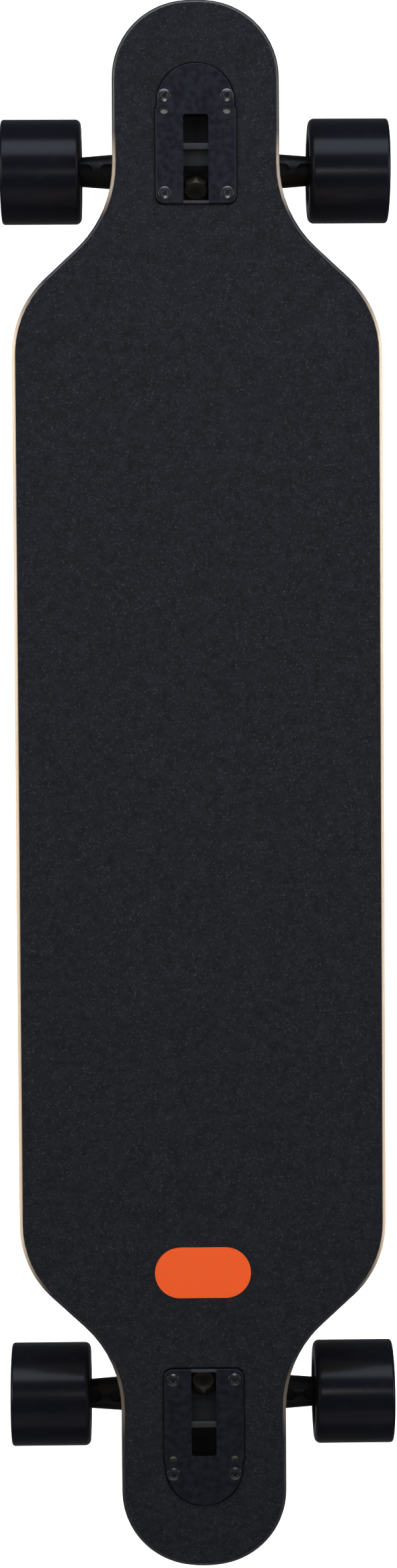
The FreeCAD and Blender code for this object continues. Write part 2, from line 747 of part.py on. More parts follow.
# Both trucks and all four wheels
for end, end_name in ((1, "front"), (-1, "rear")):
    for name, solids in truck_nodes.items():
        save("%s_%s" % (end_name, name), [at_truck(s, end) for s in solids])
    for side, side_name in ((1, "right"), (-1, "left")):
        for name, solids in wheel_nodes.items():
            placed = [at_truck(at_axle(s, side * end), end) for s in solids]
            save("%s_%s_%s" % (end_name, side_name, name), placed)
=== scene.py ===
# %% [markdown]
# # A drop-through longboard, dressed in Blender
# The CAD frame already holds every rigid piece in metres: +Y to the nose, +Z up, the ground at z = 0.
# This lesson adds the camera and the light, the soft cast pieces, the threads, and a finish for each piece.

# %% Load the frame
import json
import math

import bpy
import numpy as np
from mathutils import Matrix, Vector


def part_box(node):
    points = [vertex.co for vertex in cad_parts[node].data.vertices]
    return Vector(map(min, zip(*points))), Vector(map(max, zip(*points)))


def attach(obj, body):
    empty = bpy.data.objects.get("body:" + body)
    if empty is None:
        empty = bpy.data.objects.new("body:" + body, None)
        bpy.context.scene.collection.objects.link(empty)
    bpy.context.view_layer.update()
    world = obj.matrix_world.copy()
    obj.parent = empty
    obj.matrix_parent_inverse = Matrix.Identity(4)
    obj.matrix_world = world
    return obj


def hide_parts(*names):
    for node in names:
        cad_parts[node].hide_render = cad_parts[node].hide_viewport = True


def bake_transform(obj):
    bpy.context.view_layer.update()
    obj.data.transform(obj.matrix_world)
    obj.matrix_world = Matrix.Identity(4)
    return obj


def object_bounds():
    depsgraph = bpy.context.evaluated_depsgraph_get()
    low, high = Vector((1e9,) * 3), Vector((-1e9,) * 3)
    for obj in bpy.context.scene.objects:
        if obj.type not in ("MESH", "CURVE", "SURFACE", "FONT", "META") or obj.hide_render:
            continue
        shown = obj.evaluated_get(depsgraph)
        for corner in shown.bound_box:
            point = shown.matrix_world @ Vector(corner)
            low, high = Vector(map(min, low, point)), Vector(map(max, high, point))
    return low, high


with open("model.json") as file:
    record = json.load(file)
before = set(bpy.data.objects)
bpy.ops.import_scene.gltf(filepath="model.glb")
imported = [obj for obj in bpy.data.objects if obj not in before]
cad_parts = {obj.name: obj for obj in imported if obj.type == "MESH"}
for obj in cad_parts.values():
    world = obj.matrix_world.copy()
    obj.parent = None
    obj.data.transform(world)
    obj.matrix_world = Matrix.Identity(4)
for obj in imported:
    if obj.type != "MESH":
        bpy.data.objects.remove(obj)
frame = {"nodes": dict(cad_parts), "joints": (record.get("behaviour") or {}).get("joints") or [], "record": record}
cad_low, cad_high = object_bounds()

MM = 0.001
nodes = frame["nodes"]
joints = {joint["name"]: joint for joint in frame["joints"]}

# %% [markdown]
# ## The camera
# The photograph looks straight down on the board from about two metres. One could guess a lens and slide
# the camera about, but the deck's outline fixes it: a focal length in pixels, a place above the middle,
# and three small turns. Blender's lens in millimetres is that focal length times the sensor, over the
# height.

# %% Camera
photo_height = 2369
focal_pixels = 4558
sensor_size = 36.0
nearest, farthest = 0.05, 60.0
camera_place = Vector((-0.030, 0.085, 2.0))
camera_pitch, camera_yaw, camera_roll = (math.radians(a) for a in (-2.3, -0.85, -0.405))
deck_thickness = 11.5 * MM
deck_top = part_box("deck")[0].z + deck_thickness

lens = bpy.data.cameras.new("camera_above")
lens.sensor_width = sensor_size
lens.lens = focal_pixels / photo_height * sensor_size
lens.clip_start, lens.clip_end = nearest, farthest
camera = bpy.data.objects.new("camera_above", lens)
bpy.context.scene.collection.objects.link(camera)
turn = (Matrix.Rotation(camera_roll, 4, "Z") @ Matrix.Rotation(camera_pitch, 4, "X")
        @ Matrix.Rotation(camera_yaw, 4, "Y"))
camera.matrix_world = Matrix.Translation(camera_place + Vector((0, 0, deck_top))) @ turn
bpy.context.scene.camera = camera
print("lens %.1f mm, %.2f m above the ground" % (lens.lens, camera.location.z))

# %% [markdown]
# ## Floor and light
# A shot on white needs a floor that stays white up to the board's edge. A glowing table would do that,
# but it leaves no shadow at all. Here the floor is a plain sheet with a lamp of its own straight above,
# linked so that it falls on the sheet alone. Only the deck, the tape and the plates shade it, so the
# shadow hides behind the deck in the photograph's view. The other lamps are linked to the board alone. A
# pale wall that only the camera sees closes the low views, and neither floor nor wall is mirrored in the
# black wheels.
#
# Black pieces need a dark sky straight above, or they turn grey, and large soft lights on the sides,
# which draw the long bands on the wheels. A grid in front of a lamp narrows its beam: here the lamps aim
# ahead of the middle, so the tail end falls darker, as in the photograph. One small lamp beside the
# camera makes the screw heads glint.

# %% Floor, sky and soft lights
floor_half = 30.0
wall_radius, wall_height, wall_steps = 25.0, 12.0, 96
sky_tint, sky_strength = (0.93, 0.96, 1.0, 1.0), 0.12
bright_end = Vector((0.0, 0.30, 0.0))
cool_white, plain_white = (0.80, 0.88, 1.0), (1.0, 0.99, 0.98)
end_size, side_size, glint_size = (3.0, 1.5), (2.0, 1.5), (0.30, 0.30)
floor_light, floor_light_angle = 29.0, math.radians(14)
shading_names = ("deck", "grip_tape", "front_baseplate", "rear_baseplate")


def stage_piece(name, points, faces):
    """Part of the studio: a mesh that doesn't belong to the board, and isn't mirrored in it."""
    mesh = bpy.data.meshes.new(name)
    mesh.from_pydata(points.tolist(), [], faces.tolist())
    made = bpy.data.objects.new(name, mesh)
    bpy.context.scene.collection.objects.link(made)
    made.visible_glossy = False
    return made


def linked(name, pieces):
    """Group of pieces that a lamp's light or shadow is limited to."""
    made = bpy.data.collections.new(name)
    for piece in pieces:
        made.objects.link(piece)
    return made


corners = np.array([(-1, -1, 0), (1, -1, 0), (1, 1, 0), (-1, 1, 0)]) * floor_half
floor = stage_piece("floor", corners, np.arange(4)[None])
angle = np.linspace(0, 2 * math.pi, wall_steps, endpoint=False)
circle = wall_radius * np.stack([np.cos(angle), np.sin(angle)], -1)
rims = np.concatenate([np.insert(circle, 2, z, axis=1) for z in (0, wall_height)])
number = np.arange(wall_steps)
after = np.roll(number, -1)
wall = stage_piece("wall", rims, np.stack([after, number, number + wall_steps, after + wall_steps], -1))
wall.visible_diffuse = False
wall.visible_shadow = False

sky = bpy.data.worlds.new("studio")
sky.use_nodes = True
sky.node_tree.nodes["Background"].inputs["Color"].default_value = sky_tint
sky.node_tree.nodes["Background"].inputs["Strength"].default_value = sky_strength
bpy.context.scene.world = sky
bpy.context.scene.view_settings.view_transform = "Standard"

floor_only = linked("floor_only", [floor])
all_but_floor = linked("all_but_floor", [floor])
all_but_floor.collection_objects[0].light_linking.link_state = "EXCLUDE"
shading_pieces = linked("shading_pieces", [nodes[name] for name in shading_names])


def soft_light(name, place, size, watts, tint, beam):
    """A rectangular lamp for the board, turned to its bright end and unseen by the camera."""
    lamp = bpy.data.lights.new(name, "AREA")
    lamp.shape = "RECTANGLE"
    lamp.size, lamp.size_y = size
    lamp.energy = watts
    lamp.color = tint
    lamp.spread = math.radians(beam)
    holder = bpy.data.objects.new(name, lamp)
    bpy.context.scene.collection.objects.link(holder)
    holder.location = place
    holder.rotation_mode = "QUATERNION"
    holder.rotation_quaternion = (bright_end - Vector(place)).to_track_quat("-Z", "Y")
    holder.visible_camera = False
    holder.light_linking.receiver_collection = all_but_floor


soft_light("light_nose", (0.0, 2.2, 1.7), end_size, 26.0, cool_white, 120)
soft_light("light_tail", (0.0, -2.2, 1.7), end_size, 5.0, plain_white, 150)
soft_light("light_left", (-1.9, 0.5, 1.6), side_size, 7.7, plain_white, 60)
soft_light("light_right", (1.9, 0.5, 1.6), side_size, 7.4, plain_white, 60)
soft_light("light_camera", (0.10, 0.10, 2.3), glint_size, 2.4, plain_white, 170)

floor_sun = bpy.data.lights.new("light_floor", "SUN")
floor_sun.energy = floor_light
floor_sun.angle = floor_light_angle
floor_lamp = bpy.data.objects.new("light_floor", floor_sun)
bpy.context.scene.collection.objects.link(floor_lamp)
floor_lamp.light_linking.receiver_collection = floor_only
floor_lamp.light_linking.blocker_collection = shading_pieces
print("floor, wall, sky, 5 soft lights and one that falls on the floor alone")

# %% [markdown]
# ## Writing finishes
# A finish is a small graph of shader nodes. Wiring each socket by hand is long, so small helpers do it:
# one adds a node and fills its sockets by name, one does arithmetic, one mixes colours. Patterns read
# Object coordinates, which are metres of the board's own frame here, so a scale of 1000 means one grain
# per millimetre.

# %% Helpers for finishes


def fill(tree, socket, value):
    """Links a socket to another node's output, or sets its number or colour."""
    if isinstance(value, bpy.types.NodeSocket):
        tree.links.new(value, socket)
    else:
        socket.default_value = value


def shade(tree, kind, out=0, options=None, **sockets):
    """Adds a shader node, sets its options and sockets (underscores stand for spaces), gives one output."""
    made = tree.nodes.new("ShaderNode" + kind)
    for key, value in (options or {}).items():
        setattr(made, key, value)
    for key, value in sockets.items():
        fill(tree, made.inputs[key.replace("_", " ")], value)
    return made.outputs[out]


def sums(tree, operation, *values):
    """One step of arithmetic on numbers or outputs."""
    made = tree.nodes.new("ShaderNodeMath")
    made.operation = operation
    for socket, value in zip(made.inputs, values):
        fill(tree, socket, value)
    return made.outputs[0]


def blend_colours(tree, share, first, second):
    """Mix of two colours: the first where the share is 0, the second where it is 1."""
    made = tree.nodes.new("ShaderNodeMix")
    made.data_type = "RGBA"
    fill(tree, made.inputs[0], share)
    fill(tree, made.inputs[6], first)
    fill(tree, made.inputs[7], second)
    return made.outputs[2]


def between(tree, value, low, high, to_low, to_high):
    """Carries a value from one range to another, held at the ends."""
    return shade(tree, "MapRange", Value=value, From_Min=low, From_Max=high, To_Min=to_low, To_Max=to_high)


def stretched(tree, scale):
    """Object coordinates in metres, multiplied by a scale for each axis."""
    place = shade(tree, "TexCoord", out=3)
    return shade(tree, "Mapping", Vector=place, Scale=scale)


def grain(tree, scale, detail=3.0, rough=0.55, where=None):
    """Cloudy noise of so many grains a metre, from 0 to 1."""
    place = where if where else shade(tree, "TexCoord", out=3)
    return shade(tree, "TexNoise", Vector=place, Scale=scale, Detail=detail, Roughness=rough)


def bumps(tree, height, depth, strength=1.0):
    """Surface normal with bumps of a depth in metres."""
    return shade(tree, "Bump", Strength=strength, Distance=depth, Height=height)


def finish_of(name, **constant):
    """New material with one Principled shader; constants are set on its own sockets."""
    material = bpy.data.materials.new(name)
    material.use_nodes = True
    shader = material.node_tree.nodes["Principled BSDF"]
    for key, value in constant.items():
        shader.inputs[key.replace("_", " ")].default_value = value
    return material, material.node_tree, shader


def wire(tree, shader, **sockets):
    """Links or sets sockets of the shader."""
    for key, value in sockets.items():
        fill(tree, shader.inputs[key.replace("_", " ")], value)


def axes_of(tree):
    """Object coordinates in metres as three outputs: x, y and z."""
    split = tree.nodes.new("ShaderNodeSeparateXYZ")
    fill(tree, split.inputs[0], shade(tree, "TexCoord", out=3))
    return split.outputs


def grey(value):
    """Neutral colour of one brightness."""
    return (value, value, value, 1.0)


def stage_finish(piece, name, dark, light, glow, **constant):
    """Plain finish of a studio piece: two close greys mixed by a slow cloud, and a glow of its own."""
    made, tree, shader = finish_of(name, Emission_Color=grey(1.0), Emission_Strength=glow, **constant)
    wire(tree, shader, Base_Color=blend_colours(tree, grain(tree, 0.7), grey(dark), grey(light)))
    piece.data.materials.append(made)


stage_finish(floor, "pale_sheet", 0.172, 0.178, glow=0.03, Roughness=0.9, Specular_IOR_Level=0.1)
stage_finish(wall, "bright_wall", 0.79, 0.81, glow=1.1)
finishes = {}
print("plain pale floor and wall")

# %% [markdown]
# ## Maple plies
# The deck is pressed from thin maple sheets over a curved mould, so the plies follow the curve. An image
# would slide at the edges. Here the depth below the top surface is worked out from the distance to the
# mould's axis, which lies 700 mm above the deck, and that depth picks the ply, its tint and the dark
# glue lines. Two places are black: the routed seats of the trucks and the walls of the openings and holes
# under them are painted black as painted shade, and round the nose and tail the top edge is stained where
# the tape was filed off, less so beside the hangers. Both are masks made from the same coordinates.

# %% Maple
concave_radius = 700 * MM
ply_steps = 8
tip_to_truck = 95 * MM
truck_y = cad_high.y - tip_to_truck
seat_half_x, seat_half_y, seat_reach = 28 * MM, 54.5 * MM, 11.2 * MM
stain_from, stain_to, stain_depth = 295 * MM, 335 * MM, 2.6 * MM
neck_from, neck_to, neck_fade = 378 * MM, 434 * MM, 18 * MM
neck_stain_front, neck_stain_rear = 0.6, 0.86
pale_maple, tan_maple = (0.88, 0.73, 0.55, 1), (0.74, 0.57, 0.38, 1)
figure_brown, pore_brown = (0.60, 0.42, 0.25, 1), (0.46, 0.31, 0.18, 1)
ply_brown, glue_brown = (0.56, 0.38, 0.22, 1), (0.26, 0.14, 0.07, 1)
edge_black = (0.010, 0.010, 0.011, 1)

maple, tree, shader = finish_of("maple_plies", Coat_Weight=0.3, Coat_Roughness=0.2, Specular_IOR_Level=0.4)
x, y, z = axes_of(tree)
across, along = sums(tree, "ABSOLUTE", x), sums(tree, "ABSOLUTE", y)
drop = sums(tree, "SUBTRACT", deck_top + concave_radius, z)
square = sums(tree, "ADD", sums(tree, "MULTIPLY", x, x), sums(tree, "MULTIPLY", drop, drop))
depth = sums(tree, "SUBTRACT", sums(tree, "SQRT", square), concave_radius)
ply = sums(tree, "MULTIPLY_ADD", depth, ply_steps / deck_thickness, 0.5)
ply_tint = shade(tree, "TexWhiteNoise", options={"noise_dimensions": "1D"}, W=sums(tree, "FLOOR", ply))
from_middle = sums(tree, "ABSOLUTE", sums(tree, "SUBTRACT", sums(tree, "FRACT", ply), 0.5))
glue_line = between(tree, from_middle, 0.43, 0.49, 0.0, 1.0)
streaks = grain(tree, 1.0, 5.0, 0.6, stretched(tree, (170, 6, 170)))
pores = grain(tree, 1.0, 2.0, 0.5, stretched(tree, (1500, 40, 1500)))
figure = shade(tree, "TexWave", out=1, options={"wave_type": "BANDS", "bands_direction": "X"},
               Vector=stretched(tree, (1.0, 0.05, 1.0)), Scale=26.0, Distortion=9.0, Detail=3.0,
               Detail_Scale=1.4)
wood = blend_colours(tree, streaks, pale_maple, tan_maple)
wood = blend_colours(tree, sums(tree, "MULTIPLY", figure, 0.30), wood, figure_brown)
wood = blend_colours(tree, between(tree, pores, 0.55, 0.75, 0.0, 0.3), wood, pore_brown)
wood = blend_colours(tree, sums(tree, "MULTIPLY", ply_tint, 0.25), wood, ply_brown)
wood = blend_colours(tree, sums(tree, "MULTIPLY", glue_line, 0.5), wood, glue_brown)
from_truck = sums(tree, "ABSOLUTE", sums(tree, "SUBTRACT", along, truck_y))
# Painted shade: the truck seats and the walls of the openings and holes under them are painted black.
seat_painted_shade = sums(tree, "MULTIPLY", sums(tree, "LESS_THAN", across, seat_half_x),
              sums(tree, "LESS_THAN", from_truck, seat_half_y))
seat_painted_shade = sums(tree, "MULTIPLY", seat_painted_shade, sums(tree, "LESS_THAN", depth, seat_reach))
stained = sums(tree, "MULTIPLY", between(tree, along, stain_from, stain_to, 0.0, 1.0),
               between(tree, depth, 0.7 * stain_depth, stain_depth, 1.0, 0.0))
neck_stain = between(tree, y, -neck_from, neck_from, neck_stain_rear, neck_stain_front)
worn = sums(tree, "MAXIMUM", between(tree, along, neck_from, neck_from + neck_fade, 1.0, neck_stain),
            between(tree, along, neck_to - neck_fade, neck_to, neck_stain, 1.0))
stained = sums(tree, "MULTIPLY", stained, worn)
wood = blend_colours(tree, sums(tree, "MAXIMUM", seat_painted_shade, stained), wood, edge_black)
wire(tree, shader, Base_Color=wood, Roughness=between(tree, streaks, 0.2, 0.8, 0.36, 0.5),
     Normal=bumps(tree, pores, 0.08 * MM, 0.35))
finishes["maple"] = maple
print("maple: %d glue steps over %.1f mm" % (ply_steps, deck_thickness / MM))
print("trucks at y = %.1f mm" % (truck_y / MM))

# %% [markdown]
# ## Grip tape and the orange inlay
# Grip tape is sandpaper: black grit in resin. A flat black would look like rubber, so the colour is
# speckled with cells under a millimetre, a few of them painted lighter as painted glints, and a fine
# grain lifts the surface.
# Slower clouds of two and six millimetres show where the grit lies thicker. The inlay is a smooth orange
# film in a window of the tape.

# %% Grip and inlay
grit_deep, grit_thick = (0.0040, 0.0043, 0.0058, 1), (0.0158, 0.0164, 0.0206, 1)
grit_dust, grit_painted_glint = (0.0060, 0.0063, 0.0080, 1), (0.060, 0.062, 0.072, 1)
film_red, film_yellow = (0.78, 0.080, 0.010, 1), (0.72, 0.096, 0.016, 1)

grip, tree, shader = finish_of("black_grit", Specular_IOR_Level=0.12)
cells = shade(tree, "TexVoronoi", out=1, Vector=shade(tree, "TexCoord", out=3), Scale=1500.0)
cell_pick = tree.nodes.new("ShaderNodeSeparateColor")
fill(tree, cell_pick.inputs[0], cells)
fine = grain(tree, 1300.0, 2.0, 0.6)
lumps = between(tree, grain(tree, 420.0, 3.0, 0.6), 0.3, 0.7, 0.0, 1.0)
patches = between(tree, grain(tree, 160.0, 3.0, 0.6), 0.35, 0.65, 0.0, 1.0)
thick = sums(tree, "MULTIPLY_ADD", patches, 0.4, sums(tree, "MULTIPLY", lumps, 0.6))
black = blend_colours(tree, thick, grit_deep, grit_thick)
black = blend_colours(tree, between(tree, fine, 0.3, 0.7, 0.0, 0.5), black, grit_dust)
# Painted glints: a few grit cells take a lighter colour that stands for sparkle.
painted_glint = sums(tree, "GREATER_THAN", cell_pick.outputs[0], 0.95)
black = blend_colours(tree, sums(tree, "MULTIPLY", painted_glint, 0.35), black, grit_painted_glint)
wire(tree, shader, Base_Color=black, Roughness=between(tree, fine, 0.2, 0.8, 0.96, 0.75),
     Normal=bumps(tree, fine, 0.25 * MM, 0.5))
finishes["grip"] = grip

inlay, tree, shader = finish_of("orange_film", Specular_IOR_Level=0.25)
film = grain(tree, 220.0, 4.0, 0.6)
wire(tree, shader, Base_Color=blend_colours(tree, film, film_red, film_yellow),
     Roughness=between(tree, film, 0.2, 0.8, 0.42, 0.58),
     Normal=bumps(tree, grain(tree, 900.0), 0.05 * MM, 0.3))
finishes["inlay_orange"] = inlay
print("grip and inlay")

# %% [markdown]
# ## Painted castings and metals
# The trucks are cast and powder coated: deep black with a slight orange peel. Below the top of the plate
# the coat is painted darker as painted shade, darkest in the outer window; the inner window is painted a
# little lighter as painted light, and the bar and the lip are painted lighter as painted highlights. Boxes
# in the truck's own measures tint those places. Metals share one recipe, a metallic shader whose
# roughness is drawn out in streaks; the recipe takes a colour, a roughness and the direction of the
# streaks, so each steel gets its own look from one function.

# %% Castings and metals
plate_top = deck_top + 3.5 * MM
# Painted shade: the coat grows darker from 3 to 10 mm below the top of the plate.
painted_shade_from, painted_shade_to = 3 * MM, 10 * MM
window_half_width = 8.4 * MM
coat_deep, coat_pale = (0.0038, 0.0041, 0.0070, 1), (0.0085, 0.0090, 0.0140, 1)
coat_painted_shade = (0.0022, 0.0023, 0.0032, 1)

coat, tree, shader = finish_of("powder_coat", Specular_IOR_Level=0.14)
peel = grain(tree, 650.0, 2.0, 0.5)
cloud = between(tree, grain(tree, 260.0, 4.0, 0.6), 0.3, 0.7, 0.0, 1.0)
tint = blend_colours(tree, cloud, coat_deep, coat_pale)
x, y, z = axes_of(tree)
outward = sums(tree, "SUBTRACT", sums(tree, "ABSOLUTE", y), truck_y)
deep = sums(tree, "SUBTRACT", plate_top, z)
tint = blend_colours(tree, between(tree, deep, painted_shade_from, painted_shade_to, 0.0, 1.0), tint, coat_painted_shade)
in_window = sums(tree, "LESS_THAN", sums(tree, "ABSOLUTE", x), window_half_width)


def patch(tree, low, high, top, bottom):
    """Share of 1 inside a box as wide as the window: from low to high outwards along the board, and from
    top to bottom in depth, all in millimetres."""
    length = sums(tree, "COMPARE", outward, (low + high) / 2 * MM, (high - low) / 2 * MM)
    height = sums(tree, "COMPARE", deep, (top + bottom) / 2 * MM, (bottom - top) / 2 * MM)
    return sums(tree, "MULTIPLY", in_window, sums(tree, "MULTIPLY", length, height))


# Painted light: the outer window painted darker as shade; the inner window, bar and lip painted lighter.
outer_window_shade, inner_window_light = patch(tree, 1.0, 19.6, 0.9, 12.1), patch(tree, -37.0, -3.7, 0.9, 16.0)
bar_highlight, lip_highlight = patch(tree, -3.7, 1.0, 0.5, 3.0), patch(tree, -39.1, -37.0, -0.1, 0.9)
tint = blend_colours(tree, outer_window_shade, tint, (0.0010, 0.0010, 0.0014, 1))
tint = blend_colours(tree, inner_window_light, tint, (0.0100, 0.0102, 0.0112, 1))
tint = blend_colours(tree, bar_highlight, tint, (0.0200, 0.0200, 0.0215, 1))
tint = blend_colours(tree, lip_highlight, tint, (0.0300, 0.0295, 0.0340, 1))
wire(tree, shader, Base_Color=tint, Roughness=between(tree, cloud, 0.25, 0.75, 0.34, 0.48),
     Normal=bumps(tree, peel, 0.12 * MM, 0.35))
finishes["truck_black"] = coat


def metal(name, light, dark, smooth, dull, streak):
    """Metallic finish: two tints and two roughnesses mixed by noise, stretched to streaks."""
    made, tree, shader = finish_of(name, Metallic=1.0)
    lines = grain(tree, 1.0, 3.0, 0.6, stretched(tree, streak))
    spots = grain(tree, 300.0, 3.0, 0.6)
    spot_tint = tuple(value / 2 for value in dark)
    tint = blend_colours(tree, lines, (*light, 1), (*dark, 1))
    tint = blend_colours(tree, between(tree, spots, 0.55, 0.8, 0.0, 0.4), tint, (*spot_tint, 1))
    wire(tree, shader, Base_Color=tint, Roughness=between(tree, lines, 0.25, 0.75, smooth, dull),
         Normal=bumps(tree, lines, 0.03 * MM, 0.3))
    return made


even = (900, 900, 900)
turned = (2600, 160, 160)
metal_rows = {
    "zinc_steel": ("bright_zinc", (0.46, 0.47, 0.49), (0.33, 0.34, 0.36), 0.24, 0.40, even),
    # The kingpins' yellow zinc is painted dark, as painted shade of the pocket its head sits in.
    "yellow_zinc": ("aged_yellow_zinc", (0.12, 0.108, 0.086), (0.08, 0.072, 0.058), 0.64, 0.78, even),
    "axle_steel": ("ground_steel", (0.52, 0.52, 0.53), (0.40, 0.40, 0.42), 0.22, 0.36, turned),
    "bearing_steel": ("bearing_steel", (0.72, 0.72, 0.73), (0.60, 0.60, 0.62), 0.12, 0.22, turned),
    "shield_steel": ("shield_steel", (0.50, 0.51, 0.52), (0.38, 0.39, 0.41), 0.28, 0.42, even),
    "spacer_aluminium": ("turned_aluminium", (0.74, 0.75, 0.76), (0.62, 0.63, 0.65), 0.25, 0.4, turned),
}
for slot, row in metal_rows.items():
    finishes[slot] = metal(*row)
black_oxide = metal("black_oxide", (0.110, 0.112, 0.118), (0.070, 0.071, 0.075), 0.18, 0.25, even)
print("castings,", len(metal_rows), "bare metals and a blackened one")

# %% [markdown]
# ## Urethane and nylon
# Wheels, bushings and pivot cups are cast urethane, the wheel cores and ball cages moulded nylon. They
# differ in colour and gloss but not in kind, so one recipe serves: a cloudy tint, a roughness that
# varies with it, and fine bumps. The tread of a wheel is turned on a lathe, which leaves faint lines
# round it, so the wheels get a finish of their own.

# %% Urethane and nylon
moulded_specular = 0.4
wheel_deep, wheel_pale = (0.0026, 0.0028, 0.0050, 1), (0.0050, 0.0053, 0.0084, 1)
wheel_scuffed = (0.010, 0.010, 0.013, 1)


def moulded(name, light, dark, smooth, dull, cloud_scale, bump_scale, bump_depth):
    """Plastic finish: two tints and two roughnesses mixed by one cloud, and bumps of a depth in mm."""
    made, tree, shader = finish_of(name, Specular_IOR_Level=moulded_specular)
    cloud = grain(tree, cloud_scale, 4.0, 0.6)
    wire(tree, shader, Base_Color=blend_colours(tree, cloud, (*light, 1), (*dark, 1)),
         Roughness=between(tree, cloud, 0.25, 0.75, smooth, dull),
         Normal=bumps(tree, grain(tree, bump_scale, 2.0), bump_depth * MM, 0.4))
    return made


moulded_rows = {
    "core_nylon": ("core_nylon", (0.022, 0.022, 0.025), (0.013, 0.013, 0.015), 0.38, 0.55, 90, 1400, 0.08),
    "cage_nylon": ("cage_nylon", (0.78, 0.76, 0.68), (0.68, 0.65, 0.56), 0.35, 0.5, 200, 1400, 0.05),
    "cup_urethane": ("cup_urethane", (0.03, 0.03, 0.03), (0.018, 0.018, 0.019), 0.4, 0.55, 120, 900, 0.06),
    "bushing_urethane": ("bushing_amber", (0.78, 0.3, 0.035), (0.62, 0.2, 0.02), 0.22, 0.36, 60, 500, 0.06),
}
for slot, row in moulded_rows.items():
    finishes[slot] = moulded(*row)

wheel_cast, tree, shader = finish_of("wheel_cast", Specular_IOR_Level=0.12)
cloud = grain(tree, 45.0, 4.0, 0.6)
lathe_lines = grain(tree, 1.0, 2.0, 0.5, stretched(tree, (1700, 14, 14)))
scuff = between(tree, grain(tree, 120.0, 5.0, 0.65), 0.55, 0.8, 0.0, 1.0)
black = blend_colours(tree, cloud, wheel_deep, wheel_pale)
black = blend_colours(tree, sums(tree, "MULTIPLY", scuff, 0.35), black, wheel_scuffed)
gloss = sums(tree, "ADD", between(tree, lathe_lines, 0.3, 0.7, 0.20, 0.25),
             sums(tree, "MULTIPLY", scuff, 0.10))
wire(tree, shader, Base_Color=black, Roughness=gloss, Normal=bumps(tree, lathe_lines, 0.02 * MM, 0.2))
finishes["wheel_urethane"] = wheel_cast
print(len(finishes), "finishes")

# %% [markdown]
# ## Dressing the CAD nodes
# Each CAD node names a material slot in the record. The finishes above are stored under the same names,
# so one loop dresses them all, and a node whose slot has no finish stops the lesson. The mounting screws
# are steel like the nuts, but blackened, so they take a darker finish of the same slot.

# %% Dress the nodes
slot_of = {row["node"]: row["material_slot"] for row in frame["record"]["subparts"]}
for name, piece in nodes.items():
    piece.data.materials.clear()
    piece.data.materials.append(black_oxide if name.endswith("mount_screws") else finishes[slot_of[name]])
print("dressed", len(slot_of), "nodes")

# %% [markdown]
# ## Surfaces from arrays
# The new pieces are all turned or wound shapes. A turned shape is a closed outline carried round an
# axis: a grid of angle by outline, computed at once as an array and handed to the mesh. Outlines have
# rounded corners, since no cast edge is sharp. If the enclosed volume comes out negative the faces look
# inwards, so they are turned round.

# %% Helpers for surfaces


def rounded_loop(corners, radii, steps):
    """Closed outline. Each corner becomes an arc that touches both sides: centre plus radius times a
    direction that turns evenly from the foot on one side to the foot on the other."""
    corner = np.array(corners, float)
    radius = np.array(radii, float)[:, None]
    back = np.roll(corner, 1, 0) - corner
    ahead = np.roll(corner, -1, 0) - corner
    back /= np.linalg.norm(back, axis=1, keepdims=True)
    ahead /= np.linalg.norm(ahead, axis=1, keepdims=True)
    half = np.arccos(np.clip((back * ahead).sum(1, keepdims=True), -1, 1)) / 2
    inward = back + ahead
    inward /= np.linalg.norm(inward, axis=1, keepdims=True)
    centre = corner + inward * radius / np.sin(half)
    first = (corner + back * radius / np.tan(half) - centre)[:, None]
    last = (corner + ahead * radius / np.tan(half) - centre)[:, None]
    sweep = (math.pi - 2 * half)[:, :, None]
    share = np.linspace(0, 1, steps)[None, :, None]
    arc = (np.sin((1 - share) * sweep) * first + np.sin(share * sweep) * last) / np.sin(sweep)
    return (centre[:, None] + arc).reshape(-1, 2)


def ring_quads(rows, columns, closed_rows):
    """Corner numbers of the faces of a grid whose columns close on themselves, and whose rows may too."""
    number = np.arange(rows * columns).reshape(rows, columns)
    below = np.roll(number, -1, 0)
    if not closed_rows:
        number, below = number[:-1], below[:-1]
    return np.stack([number, np.roll(number, -1, 1), np.roll(below, -1, 1), below], -1).reshape(-1, 4)


def volume_of(points, quads):
    """Signed volume: the sum of the tetrahedra from the origin to the two triangles of each face."""
    a, b, c, d = (points[quads[:, k]] for k in range(4))
    return (np.einsum("ij,ij->i", a, np.cross(b, c)) + np.einsum("ij,ij->i", a, np.cross(c, d))).sum() / 6


def make_piece(name, points, quads, finish, body, slot):
    """Turns arrays into a mesh that looks outwards, smooth, with a finish, riding on a body if one is
    named."""
    if volume_of(points - points.mean(0), quads) < 0:
        quads = quads[:, ::-1]
    mesh = bpy.data.meshes.new(name)
    mesh.vertices.add(len(points))
    mesh.vertices.foreach_set("co", points.astype(np.float32).ravel())
    mesh.loops.add(quads.size)
    mesh.loops.foreach_set("vertex_index", quads.astype(np.int32).ravel())
    mesh.polygons.add(len(quads))
    mesh.polygons.foreach_set("loop_start", np.arange(0, quads.size, 4, dtype=np.int32))
    mesh.polygons.foreach_set("use_smooth", np.ones(len(quads), bool))
    mesh.update(calc_edges=True)
    mesh.validate()
    mesh.materials.append(finish)
    piece = bpy.data.objects.new(name, mesh)
    bpy.context.scene.collection.objects.link(piece)
    if body:
        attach(piece, body)
    return piece


def turned_points(outline, centre, axis, across, segments):
    """Surface of revolution: centre + along * axis + radius * (cos t * across + sin t * (axis x across))."""
    angle = np.linspace(0, 2 * math.pi, segments, endpoint=False)
    side = np.cross(axis, across)
    spoke = np.cos(angle)[:, None] * across + np.sin(angle)[:, None] * side
    along = outline[:, 0][:, None, None] * axis
    out = outline[:, 1][:, None, None] * spoke[None]
    return (np.array(centre) + along + out).reshape(-1, 3)


